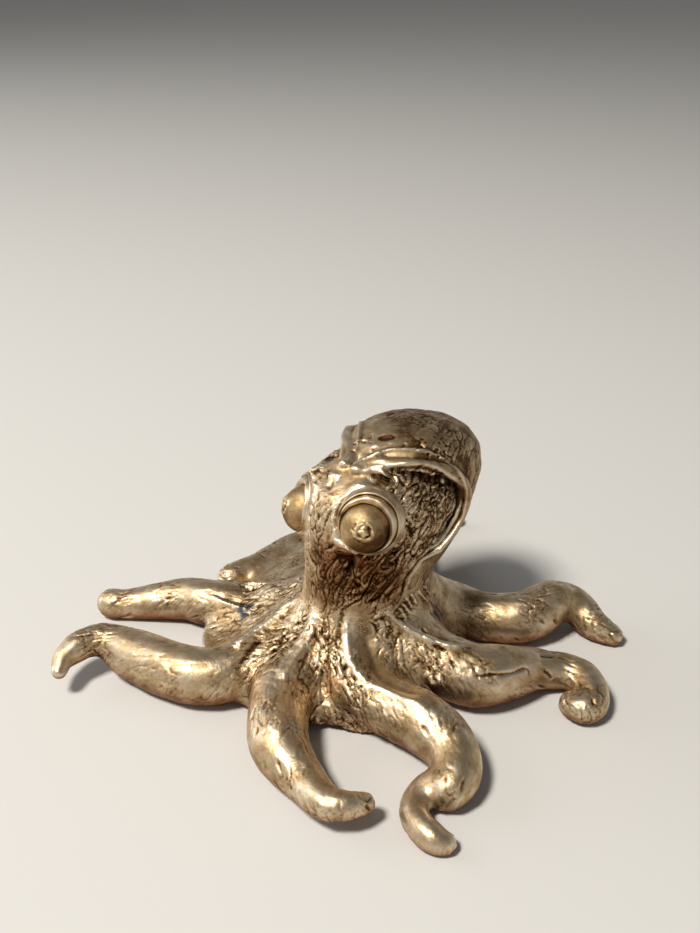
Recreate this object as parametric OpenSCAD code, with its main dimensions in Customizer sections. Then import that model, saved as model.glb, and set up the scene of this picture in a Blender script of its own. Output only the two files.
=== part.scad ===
// Cast brass octopus ornament that stands on a table. The face looks along -Y, +Z is up, and the
// origin lies on the table under the axis of the neck. Left and right are the animal's own. All
// sizes are in millimetres.

/* [Foot] */
// Depth of the flat dressed under each arm where it rests on the table
foot_flat = 0.5; // [0.2:0.1:1]

/* [Arms] */
// Reach of the longest arm, from the neck's axis to the middle of its tip
arm_reach = 69.4; // [62:0.2:76]
// Girth of the arms, as a factor on the radii of their stations
arm_girth = 1; // [0.9:0.05:1.1]

/* [Neck and web] */
// Height of the joint between the web and the head
neck_h = 20; // [18:0.5:22]
// Half width of the neck, side to side
neck_half_w = 13; // [12:0.5:14]
// Half depth of the neck, front to back
neck_half_d = 15; // [14:0.5:16]
// Height of the web's top at its free edge
web_edge_h = 4.5; // [3.5:0.25:6]
// Height of the web's underside at its free edge between two arms
web_lift = 1.8; // [1:0.2:3]
// How steeply the web falls away from the neck
web_fall = 2.3; // [1.6:0.1:3]
// Part of the web's reach that stands flat on the table
web_sole = 0.5; // [0.4:0.05:0.7]

/* [Head] */
// Height of the crown of the head under the hood
crown_h = 50; // [48:0.5:52]
// Half width of the head at its widest
head_half_w = 13.3; // [12.5:0.1:14]
// Half depth of the head at its deepest
head_half_d = 15.4; // [14.5:0.1:16.2]

/* [Hood] */
// Height of the top of the hood
hood_h = 55.5; // [54:0.5:58]
// Half width of the hood at its widest
hood_half_w = 14.8; // [14:0.1:15.6]
// Half depth of the hood at its deepest
hood_half_d = 16.8; // [16:0.1:17.6]
// Half length of the cheek recess, front to back
cheek_half_l = 14.5; // [12:0.5:16]
// Half height of the cheek recess
cheek_half_h = 10.5; // [8:0.5:12]
// Height of the middle of the cheek recess
cheek_z = 41; // [39:0.5:43]
// Distance of the middle of the cheek recess behind the neck's axis
cheek_y = -1; // [-2:0.5:0]
// Radius of the bead along the rim of the hood
rim_bead_r = 1.5; // [1:0.1:2]

/* [Eyes] */
// Radius of an eyeball
eye_r = 4.9; // [4:0.1:5.1]
// Height of an eyeball above its seat
eye_bulge = 7.2; // [6:0.1:8]
// Radius of the raised ring in the middle of an eyeball
pupil_r = 2; // [1.4:0.1:2.6]
// Radius of the bead of that ring
pupil_bead_r = 0.4; // [0.3:0.05:0.6]
// Radius of the rim of an eyelid
lid_r = 6.7; // [6.5:0.1:7.2]
// Thickness of the rounded rim of an eyelid
lid_rim_t = 1.8; // [1.2:0.1:2.4]
// Height of an eyelid above the seat
lid_h = 4.6; // [4:0.1:5.2]
// Depth of an eyelid's inner face below its rim
lid_step = 0.9; // [0.5:0.1:1.3]
// Distance that an eyelid sits above the middle of its eyeball
lid_up = 1.3; // [0.8:0.1:1.5]
// Distance that an eyelid sits behind the middle of its eyeball
lid_back = 0.9; // [0.5:0.1:1.1]
// Fit between an eyeball or an eyelid and what is round it
eye_gap = 0.05; // [0.02:0.01:0.1]
// Depth of the middle of an eye inside the widest side of the head
eye_in_side = 4; // [3.2:0.1:4.8]
// Depth of the middle of an eye inside the front of the head
eye_in_front = 3.6; // [2.8:0.1:4.4]
// Height of the left eye
left_eye_z = 42.4; // [40:0.2:43]
// Height of the right eye
right_eye_z = 39.2; // [38:0.2:42]
// Angle that an eye looks out to the side
eye_out = 35; // [30:1:42]
// Angle that an eye looks up
eye_up = 19; // [12:1:26]
// Depth of an eye's seat below the skin of the head
seat_depth = 3; // [2.6:0.1:3.4]

/* [Hidden] */

brass = "#a48c62";
worn_brass = "#c2ab7c";

// Sides of an arm's cross section, and rings of an arm for each station of its path
arm_sides = 18;
arm_steps = 3;
// Angles round the dome at an arm's tip that have a ring
tip_turns = [30, 55, 75, 88];

// Each arm is the number of the station where it leaves the web, then its stations from the neck
// out to the tip, as they lie on the pattern. A station is the place of the arm's middle seen from
// above, the height of its underside over the table, and its radius.
front = [5, [[0, -8.5, 14.5, 5.5], [-0.5, -13, 8.6, 6], [-0.5, -17.5, 4.6, 6.2], [0, -22.5, 1.8, 6.4],
    [1.8, -28.5, 0.5, 6.4], [6, -33.5, 0, 6.4], [10, -37.2, 0, 6.3], [13.2, -39.3, 0, 6.1],
    [16.5, -40.3, 0, 5.4], [21.6, -41.2, 0.4, 4.5], [27, -42.5, 1.5, 3.8], [30.5, -42.8, 2.5, 3.3],
    [32.7, -41.3, 3, 3], [33.9, -39.3, 3, 2.7], [34.6, -37.4, 3, 2.2]]];
left_front = [6, [[2.5, -7, 14.5, 5.5], [4.5, -11.5, 9, 6], [8, -15, 4.6, 6.2],
    [12.5, -16.8, 2.2, 6.3], [18, -16.8, 1, 6.3], [23.5, -15.8, 0.5, 6.3], [28, -15.1, 0.5, 6.3],
    [33.8, -15, 0.3, 6], [38.5, -16.3, 0, 5.3], [41.7, -19.2, 0, 4.9], [42.5, -23, 0, 4.5],
    [39.8, -24.9, 0, 3.6], [39.3, -28, 0, 2.9], [41, -31, 0, 2.9], [44.3, -32.7, 0, 3],
    [47.8, -33, 0, 2.9], [49.6, -32.1, 0, 2.4]]];
left_side = [4, [[6.5, -2, 14.5, 5.5], [11, -1.5, 9.4, 6.2], [15.5, -1, 4.6, 6.6],
    [20.5, 0.4, 1.6, 6.9], [27.3, 3.5, 0, 7], [30, 7.6, 0, 6.6], [31.8, 11.7, 0, 5.9],
    [33.4, 15.9, 0, 5.1], [35.8, 18.9, 0, 4.5], [38.5, 21.5, 0, 4.1], [42.2, 22.5, 0, 4],
    [46, 20.6, 0, 3.9], [48.5, 17.1, 0, 3.6], [47.8, 14.4, 0.3, 3.4], [45.2, 14.4, 0.6, 2.8]]];
left_rear = [4, [[2, 7.5, 13.5, 5.5], [4.5, 12, 8.6, 6], [7, 16, 4.4, 6], [10, 20, 1.4, 6],
    [14, 22.6, 0, 5.9], [18, 25.2, 0, 6], [21.4, 28.3, 0, 6.2], [23, 32.5, 0.4, 6.1],
    [24.2, 37.2, 2, 5.5], [26.4, 41, 2, 4.7], [29.3, 41.8, 1, 4.4], [33.3, 41, 0.3, 3.9],
    [36.1, 41.5, 0, 3.3], [38.2, 42, 0, 2.7]]];
back = [5, [[-3, 8, 13.5, 5.5], [-5.5, 12.5, 8.6, 6], [-8, 17, 4.4, 6], [-11, 21.5, 1.8, 6],
    [-14.5, 27, 0.5, 6], [-19, 33.5, 0, 5.5], [-24, 39, 0, 5], [-27, 45.5, 0, 4.3],
    [-26.5, 52, 0, 3.5], [-22.5, 56.5, 0, 2.8]]];
right_rear = [4, [[-6, 3.5, 14.5, 5.5], [-10.5, 6.5, 9, 6], [-15, 9.5, 4.8, 6],
    [-20.5, 13, 2.2, 5.8], [-28, 18.5, 0.8, 5.5], [-35, 19.5, 0, 5], [-40, 15, 0, 4.3],
    [-41.5, 7.5, 0, 3.8], [-41, 0, 0, 3.8], [-42, -7, 0, 3.8]]];
right_side = [5, [[-6.5, -4, 14.5, 5.5], [-11, -6.5, 9, 6], [-15.5, -9, 4.8, 6],
    [-21.5, -12, 2, 6], [-29, -15.6, 0.4, 5.8], [-36.5, -19.6, 0, 5.6], [-40.3, -21.3, 0, 5.3],
    [-44, -24.4, 0, 4.9], [-47.5, -28, 0, 4.3], [-50.9, -31.5, 0, 3.8], [-54.3, -34.4, 0, 3.7]]];
right_front = [6, [[-4.5, -7.5, 14.5, 5.5], [-6.5, -12, 9, 6], [-8.5, -16.5, 4.6, 6.1],
    [-9.8, -22, 1.8, 6.2], [-10.5, -28.5, 0.5, 6.2], [-11.8, -34.5, 0, 6.2], [-15.4, -38.4, 0, 6.3],
    [-20, -40.4, 0, 6.2], [-24, -41.6, 0, 6.1], [-27.8, -42.5, 0, 6], [-32.3, -43.7, 0.5, 5.6],
    [-36.1, -44.9, 2, 4.8], [-38.8, -47.1, 4, 3.9], [-39.6, -50, 5, 3.4], [-39.7, -53.2, 5, 3.2],
    [-38.9, -56.6, 5.4, 2.4], [-36.9, -58.8, 5, 1.9]]];
arms = [front, left_front, left_side, left_rear, back, right_rear, right_side, right_front];
// How far the arms and the web are spread out from their places on the pattern
spread = arm_reach / max([for (a = arms, s = a[1]) norm([s[0], s[1]])]);

// Reach of the web's free edge from the axis on the pattern, by the angle round the axis from +X
web_edge = [[7, 26], [43, 18.7], [58, 25], [90, 23], [118, 29], [132, 29], [146, 32], [189, 36],
            [208, 39], [222, 39], [251, 37], [264, 34.5], [280, 32], [297, 28.5], [328, 28],
            [349, 22.5]];
// Middles of the webs, where their underside is lifted clear of the table, and how far round the
// axis from there the lift dies out
web_middles = [43, 90, 132, 189, 222, 264, 297, 349];
web_lift_turn = 14;
// Divisions of the web round the axis, and from the neck to its edge above and below
web_turns = 72;
web_rows = 9;
web_under_rows = 3;

// Cross sections of the head: height, middle from front to back, and the shares of the head's
// half depth and half width
head_slices = [[26, -0.5, 0.97, 0.98], [34, -0.5, 0.99, 0.99], [38, -0.5, 1, 1], [41, -0.7, 0.99, 0.97],
               [44, -1, 0.93, 0.89], [47, -1.5, 0.78, 0.66], [crown_h - 0.8, -2, 0.52, 0.41],
               [crown_h, -2, 0.23, 0.19]];
// Cross sections of the hood: the same four values
hood_slices = [[22, 2.5, 0.65, 0.74], [26, 5.3, 0.77, 0.82], [31, 8.4, 0.85, 0.91],
               [38, 10.6, 0.93, 0.97], [44, 12.2, 1, 1], [48, 12.2, 0.98, 0.96], [51, 11.4, 0.89, 0.85],
               [hood_h - 2.2, 10.4, 0.73, 0.68], [hood_h - 0.6, 9.8, 0.45, 0.43],
               [hood_h, 9.5, 0.21, 0.2]];
// Sides of the head's and the hood's cross sections
skin_sides = 40;

// Angles round the cheek recess where its rim begins on the forehead and ends at the jaw
rim_from = 114;
rim_to = -88;
rim_steps = 20;
rim_sides = 10;

// Sides of the round parts of the eyes
eye_sides = 48;

function mix(a, b, t) = a + (b - a) * t;

// Point of a smooth curve through the stations, for the span after station i
function curve(p, i, t) =
    let (a = p[max(i - 1, 0)], b = p[i], c = p[i + 1], d = p[min(i + 2, len(p) - 1)])
    0.5 * ((2 * b) + (c - a) * t + (2 * a - 5 * b + 4 * c - d) * t * t + (3 * b - a - 3 * c + d) * t * t * t);
function samples(p) =
    [for (s = concat([for (i = [0:len(p) - 2], j = [0:arm_steps - 1]) curve(p, i, j / arm_steps)],
                     [p[len(p) - 1]])) [spread * s[0], spread * s[1], s[2], s[3]]];
function heading(s, i) =
    let (a = s[max(i - 1, 0)], b = s[min(i + 1, len(s) - 1)]) atan2(b[1] - a[1], b[0] - a[0]);

// Upright ring round one sample, drawn in to a share of its radius and moved ahead by another,
// and flattened where it would pass below the table
function ring(s, turn, ahead, size) =
    let (r = s[3] * arm_girth, z = s[2] + r - foot_flat,
         x = s[0] + ahead * r * cos(turn), y = s[1] + ahead * r * sin(turn))
    [for (k = [0:arm_sides - 1]) let (a = 360 * (k + 0.5) / arm_sides)
        [x - r * size * cos(a) * sin(turn), y + r * size * cos(a) * cos(turn),
         max(z + r * size * sin(a), 0)]];
function rings(p, first, last) =
    let (s = samples(p)) [for (i = [first:last]) ring(s[i], heading(s, i), 0, 1)];
function tip_rings(p) =
    let (s = samples(p), n = len(s) - 1) [for (a = tip_turns) ring(s[n], heading(s, n), sin(a), cos(a))];

// Skin from ring to ring; every ring is convex, so each step is the hull of two rings
module loft(r) {
    for (i = [0:len(r) - 2])
        hull()
            polyhedron(points = concat(r[i], r[i + 1]), faces = [[for (k = [0:2 * len(r[i]) - 1]) k]]);
}

// Free part of an arm, from the web to its rounded tip
module arm_form(a) {
    loft(concat(rings(a[1], a[0] * arm_steps, (len(a[1]) - 1) * arm_steps), tip_rings(a[1])));
}

// Part of an arm that stands out of the web and runs up the neck
module ridge(a) {
    loft(rings(a[1], 0, a[0] * arm_steps));
}

module arm(a) {
    color(brass)
        arm_form(a);
}

// Reach of the web at any angle, eased between the hand-set angles
function web_reach(angle) =
    let (last = web_edge[len(web_edge) - 1], first = web_edge[0],
         w = concat([[last[0] - 360, last[1]]], web_edge, [[first[0] + 360, first[1]]]),
         i = max([for (j = [0:len(w) - 2]) w[j][0] <= angle ? j : 0]),
         t = (angle - w[i][0]) / (w[i + 1][0] - w[i][0]))
    spread * mix(w[i][1], w[i + 1][1], (1 - cos(180 * t)) / 2);
function turn_between(a, b) = abs(((a - b + 540) % 360) - 180);
function lift_at(angle) =
    let (d = min([for (m = web_middles) turn_between(angle, m)]))
    d > web_lift_turn ? 0 : web_lift * (1 + cos(180 * d / web_lift_turn)) / 2;
function neck_reach(angle) =
    neck_half_w * neck_half_d / norm([neck_half_d * cos(angle), neck_half_w * sin(angle)]);

// Round skirt from the neck down to the webs' free edges, hollowed a little below them
module web_skirt() {
    turns = [for (i = [0:web_turns - 1]) 360 * i / web_turns];
    top = [for (j = [0:web_rows], a = turns)
        let (t = j / web_rows, r = mix(neck_reach(a), web_reach(a), t))
        [r * cos(a), r * sin(a), mix(web_edge_h, neck_h, pow(1 - t, web_fall))]];
    under = [for (j = [0:web_under_rows], a = turns)
        let (t = mix(1, web_sole, j / web_under_rows), r = web_reach(a) * t)
        [r * cos(a), r * sin(a), lift_at(a) * (t - web_sole) / (1 - web_sole)]];
    last_row = web_rows + web_under_rows + 1;
    polyhedron(
        points = concat(top, under),
        faces = concat(
            [[for (i = [1:web_turns]) web_turns - i]],
            [for (a = [0:web_turns:(last_row - 1) * web_turns], i = [0:web_turns - 1])
                [a + i, a + (i + 1) % web_turns, a + web_turns + i]],
            [for (a = [0:web_turns:(last_row - 1) * web_turns], i = [0:web_turns - 1])
                [a + (i + 1) % web_turns, a + web_turns + (i + 1) % web_turns, a + web_turns + i]],
            [[for (i = [0:web_turns - 1]) last_row * web_turns + i]]));
}

// Everything above the joint between the web and the head
module above_neck() {
    translate([0, 0, neck_h])
        cylinder(r = 2 * neck_half_d, h = neck_h);
}

module arm_web() {
    color(brass)
        difference() {
            union() {
                web_skirt();
                for (a = arms)
                    ridge(a);
            }
            for (a = arms)
                arm_form(a);
            above_neck();
        }
}

// One level cross section: height, middle, half depth, half width
function oval(z, y, half_d, half_w) =
    [for (k = [0:skin_sides - 1]) let (a = 360 * k / skin_sides) [half_w * cos(a), y + half_d * sin(a), z]];

module head_form() {
    loft(concat([oval(neck_h, -0.5, neck_half_d, neck_half_w)],
                [for (s = head_slices) oval(s[0], s[1], s[2] * head_half_d, s[3] * head_half_w)]));
    intersection() {
        for (a = arms)
            ridge(a);
        above_neck();
    }
}

// Frame of an eye's seat: side is 1 for the left eye and -1 for the right one
module at_eye(side) {
    eye_z = side > 0 ? left_eye_z : right_eye_z;
    translate([side * (head_half_w - eye_in_side), eye_in_front - head_half_d, eye_z])
        rotate([0, 0, side * eye_out - 90])
            rotate([0, 90 - eye_up, 0])
                translate([0, 0, -seat_depth])
                    children();
}

// Place of an eyelid's middle in the frame of its eye
module at_lid(side) {
    at_eye(side)
        translate([-lid_up, side * lid_back, 0])
            children();
}

module eye_seats() {
    for (side = [-1, 1]) {
        at_lid(side)
            cylinder(r = lid_r + eye_gap, h = 3 * lid_h, $fn = eye_sides);
        at_eye(side)
            cylinder(r = eye_r + eye_gap, h = 3 * lid_h, $fn = eye_sides);
    }
}

module head() {
    color(brass)
        difference() {
            head_form();
            eye_seats();
        }
}

// Domed button with a small raised ring in its middle
module eyeball(side) {
    dome_z = eye_bulge - eye_r;
    color(worn_brass)
        at_eye(side)
            rotate_extrude($fn = eye_sides) {
                square([eye_r, dome_z]);
                intersection() {
                    translate([0, dome_z])
                        circle(r = eye_r, $fn = eye_sides);
                    square([eye_r, eye_bulge]);
                }
                translate([pupil_r, dome_z + sqrt(eye_r * eye_r - pupil_r * pupil_r)])
                    circle(r = pupil_bead_r, $fn = eye_sides);
            }
}

// Round collar, set off centre, that the eyeball stands in
module eyelid(side) {
    color(brass)
        difference() {
            at_lid(side)
                rotate_extrude($fn = eye_sides) {
                    square([lid_r, lid_h - lid_rim_t / 2 - lid_step]);
                    translate([lid_r - lid_rim_t, 0])
                        square([lid_rim_t, lid_h - lid_rim_t / 2]);
                    translate([lid_r - lid_rim_t / 2, lid_h - lid_rim_t / 2])
                        circle(d = lid_rim_t, $fn = eye_sides);
                }
            at_eye(side)
                translate([0, 0, -lid_h])
                    cylinder(r = eye_r + eye_gap, h = 3 * lid_h, $fn = eye_sides);
        }
}

// Side of the hood at a place along and above it
function hood_slice(z, column) = lookup(z, [for (s = hood_slices) [s[0], s[column]]]);
function hood_side(y, z) =
    let (t = (y - hood_slice(z, 1)) / (hood_half_d * hood_slice(z, 2)))
    hood_half_w * hood_slice(z, 3) * sqrt(max(1 - t * t, 0.02));

// Rim of the cheek recess, from the forehead over the back of the cheek to the jaw
rim = [for (i = [0:rim_steps])
    let (a = mix(rim_from, rim_to, i / rim_steps), y = cheek_y + cheek_half_l * cos(a),
         z = cheek_z + cheek_half_h * sin(a)) [hood_side(y, z), y, z]];

module cheek_cutter(side) {
    translate([side * 2 * neck_half_w, cheek_y, cheek_z])
        scale([1, cheek_half_l, cheek_half_h])
            rotate([0, 90, 0])
                cylinder(r = 1, h = 3 * neck_half_w, center = true, $fn = eye_sides);
}

module rim_bead(side) {
    for (i = [0:rim_steps - 1])
        hull()
            for (p = [rim[i], rim[i + 1]])
                translate([side * p[0], p[1], p[2]])
                    sphere(r = rim_bead_r, $fn = rim_sides);
}

module hood() {
    color(brass)
        difference() {
            union() {
                difference() {
                    loft([for (s = hood_slices) oval(s[0], s[1], s[2] * hood_half_d, s[3] * hood_half_w)]);
                    for (side = [-1, 1])
                        cheek_cutter(side);
                }
                for (side = [-1, 1])
                    rim_bead(side);
            }
            head_form();
            eye_seats();
        }
}

arm_web();
head();
hood();
eyeball(1);  // left_eyeball
eyeball(-1);  // right_eyeball
eyelid(1);  // left_eyelid
eyelid(-1);  // right_eyelid
arm(front);  // arm_front
arm(left_front);  // arm_left_front
arm(left_side);  // arm_left_side
arm(left_rear);  // arm_left_rear
arm(back);  // arm_back
arm(right_rear);  // arm_right_rear
arm(right_side);  // arm_right_side
arm(right_front);  // arm_right_front
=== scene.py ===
import math

import bpy
import numpy as np
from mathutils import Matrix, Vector
from mathutils.bvhtree import BVHTree


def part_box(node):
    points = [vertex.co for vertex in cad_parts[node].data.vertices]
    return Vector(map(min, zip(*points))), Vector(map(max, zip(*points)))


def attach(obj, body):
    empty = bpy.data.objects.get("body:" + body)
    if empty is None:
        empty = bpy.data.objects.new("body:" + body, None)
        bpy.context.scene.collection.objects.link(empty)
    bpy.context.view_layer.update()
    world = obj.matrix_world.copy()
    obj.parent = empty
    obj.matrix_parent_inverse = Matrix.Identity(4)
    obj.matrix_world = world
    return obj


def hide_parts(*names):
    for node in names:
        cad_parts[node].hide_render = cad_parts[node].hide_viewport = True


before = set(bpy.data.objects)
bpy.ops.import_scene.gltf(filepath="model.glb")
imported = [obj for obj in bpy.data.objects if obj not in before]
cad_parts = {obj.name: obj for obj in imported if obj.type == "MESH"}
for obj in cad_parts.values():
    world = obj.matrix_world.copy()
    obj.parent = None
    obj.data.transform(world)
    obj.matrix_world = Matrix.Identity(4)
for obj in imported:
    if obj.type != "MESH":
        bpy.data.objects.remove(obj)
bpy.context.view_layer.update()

# Camera: held 147 mm above the floor, looking 28 degrees down past the animal's left
# front. Found from the places where the arms touch the floor.
camera_data = bpy.data.cameras.new("camera")
camera_data.sensor_fit = "HORIZONTAL"
camera_data.sensor_width = 36
camera_data.lens = 51.43
camera_data.clip_start = 0.01
camera_data.clip_end = 50
camera = bpy.data.objects.new("camera", camera_data)
camera.location = (0.1278, -0.1345, 0.147)
camera.rotation_euler = (math.radians(62), 0, math.radians(45))
bpy.context.collection.objects.link(camera)
bpy.context.scene.camera = camera
bpy.context.scene.view_settings.view_transform = "Standard"

# Floor: a plain matt board, pale and without a grain, that fills the picture and takes
# the ornament's shadow.
FLOOR_HALF = 8
FLOOR_DULLNESS = 0.9


def rgb(hex_colour):
    """Linear RGBA of an sRGB hex colour."""
    parts = [int(hex_colour[i : i + 2], 16) / 255 for i in (1, 3, 5)]
    linear = [c / 12.92 if c <= 0.04045 else ((c + 0.055) / 1.055) ** 2.4 for c in parts]
    return (*linear, 1)


floor_corners = [(x * FLOOR_HALF, y * FLOOR_HALF, 0) for x, y in ((-1, -1), (1, -1), (1, 1), (-1, 1))]
floor_mesh = bpy.data.meshes.new("floor")
floor_mesh.from_pydata(floor_corners, [], [(0, 1, 2, 3)])
floor = bpy.data.objects.new("floor", floor_mesh)
bpy.context.collection.objects.link(floor)
floor_paint = bpy.data.materials.new("matt_pale_board")
floor_paint.use_nodes = True
floor_shader = floor_paint.node_tree.nodes["Principled BSDF"]
floor_shader.inputs["Base Color"].default_value = rgb("#d3d1cc")
floor_shader.inputs["Roughness"].default_value = FLOOR_DULLNESS
floor_mesh.materials.append(floor_paint)

# Studio: a dome that is pale near the floor and dim overhead, and two soft boxes at the
# picture's left, a warm one high up in front and a weaker, wider one low and farther back.
DOME_LIGHT = 0.6
AIM = (0, 0, 0.02)


def add(tree, kind, inputs=None, **settings):
    """Adds a node. Inputs are set by socket name or number, to a value, a socket or a
    node's first output."""
    node = tree.nodes.new(kind)
    for name, value in settings.items():
        setattr(node, name, value)
    for name, value in (inputs or {}).items():
        if isinstance(value, bpy.types.Node):
            value = value.outputs[0]
        if isinstance(value, bpy.types.NodeSocket):
            tree.links.new(value, node.inputs[name])
        else:
            node.inputs[name].default_value = value
    return node


world = bpy.data.worlds.new("studio")
bpy.context.scene.world = world
world.use_nodes = True
sky = world.node_tree
sky.nodes.clear()
where = add(sky, "ShaderNodeTexCoord")
height = add(sky, "ShaderNodeSeparateXYZ", {0: where.outputs["Generated"]})
dome = add(sky, "ShaderNodeValToRGB", {0: height.outputs["Z"]})
dome.color_ramp.elements[0].position = 0.2
dome.color_ramp.elements[0].color = rgb("#eceff2")
dome.color_ramp.elements[1].position = 0.7
dome.color_ramp.elements[1].color = rgb("#5f5d5b")
light = add(sky, "ShaderNodeBackground", {"Color": dome, "Strength": DOME_LIGHT})
add(sky, "ShaderNodeOutputWorld", {"Surface": light})


def lamp(name, place, size, watts, colour):
    """A square soft box, aimed at the foot of the animal's neck."""
    data = bpy.data.lights.new(name, "AREA")
    data.size = size
    data.energy = watts
    data.color = rgb(colour)[:3]
    box = bpy.data.objects.new(name, data)
    box.location = place
    aim = Vector(AIM) - Vector(place)
    box.rotation_euler = aim.to_track_quat("-Z", "Y").to_euler()
    bpy.context.collection.objects.link(box)


lamp("key", (-0.08, -0.58, 1.0), 0.22, 14.5, "#fffaf3")
lamp("fill", (-1.1, -0.6, 0.45), 0.9, 6.0, "#f4f5f9")

# Casting: one pour of brass without a seam, so the arms, the web, the head and the hood
# are carved as one surface and parted into pieces at the end. Sizes are in mm from here on.
MM = 0.001
GRAIN = 0.3


def triangles(names):
    """Vertices in mm, and triangles, of several CAD nodes."""
    points, faces, start = [], [], 0
    for name in names:
        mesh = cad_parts[name].data
        mesh.calc_loop_triangles()
        co = np.empty(len(mesh.vertices) * 3, np.float32)
        mesh.vertices.foreach_get("co", co)
        tri = np.empty(len(mesh.loop_triangles) * 3, np.int32)
        mesh.loop_triangles.foreach_get("vertices", tri)
        points.append(co.reshape(-1, 3) / MM)
        faces.append(tri.reshape(-1, 3) + start)
        start += len(mesh.vertices)
    return np.concatenate(points).astype(float), np.concatenate(faces)


def joined(*meshes):
    """Several meshes as one array of points and one list of faces."""
    points, faces, start = [], [], 0
    for its_points, its_faces in meshes:
        if isinstance(its_faces, np.ndarray):
            its_faces = its_faces.tolist()
        points.append(its_points)
        faces += [[i + start for i in face] for face in its_faces]
        start += len(its_points)
    return np.concatenate(points), faces


def remeshed(points, faces, grain):
    """Skin of quads, about a grain wide, round all the closed solids given."""
    mesh = bpy.data.meshes.new("joined")
    mesh.from_pydata(points.tolist(), [], faces)
    obj = bpy.data.objects.new("joined", mesh)
    bpy.context.collection.objects.link(obj)
    voxels = obj.modifiers.new("voxels", "REMESH")
    voxels.mode = "VOXEL"
    voxels.voxel_size = grain
    graph = bpy.context.evaluated_depsgraph_get()
    out = bpy.data.meshes.new_from_object(obj.evaluated_get(graph))
    co = np.empty(len(out.vertices) * 3, np.float32)
    out.vertices.foreach_get("co", co)
    quads = np.empty(len(out.polygons) * 4, np.int32)
    out.polygons.foreach_get("vertices", quads)
    bpy.data.objects.remove(obj)
    bpy.data.meshes.remove(mesh)
    bpy.data.meshes.remove(out)
    return co.reshape(-1, 3).astype(float), quads.reshape(-1, 4)


def unit(v):
    """Vectors of length 1."""
    return v / np.maximum(np.linalg.norm(v, axis=-1), 1e-9)[..., None]


def smoothstep(low, high, x):
    """0 at low, 1 at high and eased between them; low may be the larger one."""
    t = np.clip((x - low) / (high - low), 0, 1)
    return t * t * (3 - 2 * t)


class Skin:
    """A mesh of quads, with what the carving needs to know of its neighbours."""

    def __init__(self, quads, grain):
        self.quads = quads
        self.grain = grain
        self.count = quads.max() + 1
        rim = np.concatenate([quads[:, [i, (i + 1) % 4]] for i in range(4)])
        self.a, self.b = np.unique(np.sort(rim, axis=1), axis=0).T
        self.degree = self.gather(self.a) + self.gather(self.b)

    def gather(self, where, x=None):
        """Sum of x for each vertex that where names, or how often it is named."""
        return np.bincount(where, x, self.count)

    def around(self, x):
        """Mean of each vertex's neighbours, of numbers or of vectors."""
        flat = x.reshape(self.count, -1)
        total = [
            self.gather(self.a, flat[self.b, k]) + self.gather(self.b, flat[self.a, k])
            for k in range(flat.shape[1])
        ]
        return (np.stack(total, 1) / self.degree[:, None]).reshape(x.shape)

    def passes(self, reach):
        """Passes of blurring that carry a value about that many mm."""
        return max(1, round(2 * (reach / self.grain) ** 2))

    def spread(self, x, reach):
        """Numbers or vectors, blurred over about that many mm of the skin."""
        for _ in range(self.passes(reach)):
            x = 0.5 * x + 0.5 * self.around(x)
        return x

    def normals(self, points):
        """Directions out of the skin at its vertices."""
        a, b, c, d = points[self.quads].transpose(1, 0, 2)
        across = np.cross(c - a, d - b)
        total = np.zeros((self.count, 3))
        for corner in self.quads.T:
            for k in range(3):
                total[:, k] += self.gather(corner, across[:, k])
        return unit(total)

    def fill(self, points, reach, where):
        """Fills hollows outward, as with a finger in wax, as far as where(points, normals)."""
        for step in range(self.passes(reach)):
            # The normals change slowly, so every fourth pass renews them.
            if step % 4 == 0:
                n = self.normals(points)
                share = where(points, n)
            rise = np.maximum(((self.around(points) - points) * n).sum(1), 0)
            points = points + n * (rise * share)[:, None]
        return points


# Webs: skin between the arms, pressed in as wax before the model was cast. It is filled in
# on a coarse skin of the limbs, which then goes over the solids as one more layer.
WAX_GRAIN = 0.8
WAX_REACH = 4.2
# Lumps between the straight right arm and the arm behind it, each a centre and a radius.
REAR_WEB = [
    ((-36, 10, 3.2), 5.0), ((-36, 6, 2.9), 4.6), ((-34, 2, 2.6), 4.6), ((-33, -3, 2.4), 4.4),
    ((-30, 9, 4.0), 6.0), ((-29, 3, 4.0), 5.8), ((-27, -4, 3.8), 5.6), ((-23, -9, 4.0), 5.6),
    ((-23, 0, 5.0), 6.6), ((-23, 8, 5.0), 6.6),
]
BALL_SIDES = 16
BALL_RINGS = 9
BALL_POLE = 0.02


def ball(centre, radius):
    """Closed ball, as points and faces, with a very small flat at each pole."""
    points, faces = [], []
    for tilt in np.linspace(BALL_POLE, math.pi - BALL_POLE, BALL_RINGS):
        for turn in np.arange(BALL_SIDES) * 2 * math.pi / BALL_SIDES:
            out = (math.sin(tilt) * math.cos(turn), math.sin(tilt) * math.sin(turn), math.cos(tilt))
            points.append(np.array(centre) + radius * np.array(out))
    for a in range(0, len(points) - BALL_SIDES, BALL_SIDES):
        b = a + BALL_SIDES
        for i in range(BALL_SIDES):
            j = (i + 1) % BALL_SIDES
            faces.append([a + i, b + i, b + j, a + j])
    top = [*range(BALL_SIDES)]
    bottom = [*range(len(points) - 1, len(points) - BALL_SIDES - 1, -1)]
    return np.array(points), faces + [top, bottom]


def on_web(points, out):
    """Share of wax at each place: all where the skin looks up, inside 30 mm and below 26 mm."""
    looks_up = smoothstep(-0.25, 0.2, out[:, 2])
    inside = smoothstep(46, 30, np.hypot(points[:, 0], points[:, 1]))
    return looks_up * inside * smoothstep(32, 26, points[:, 2])


limbs = [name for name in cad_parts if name.startswith("arm")] + ["head"]
lumps_of_wax = [ball(centre, radius) for centre, radius in REAR_WEB]
wax, wax_quads = remeshed(*joined(triangles(limbs), *lumps_of_wax), WAX_GRAIN)
wax = Skin(wax_quads, WAX_GRAIN).fill(wax, WAX_REACH, on_web)
P, QUADS = remeshed(*joined(triangles(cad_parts), (wax, wax_quads)), GRAIN)
skin = Skin(QUADS, GRAIN)

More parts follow.
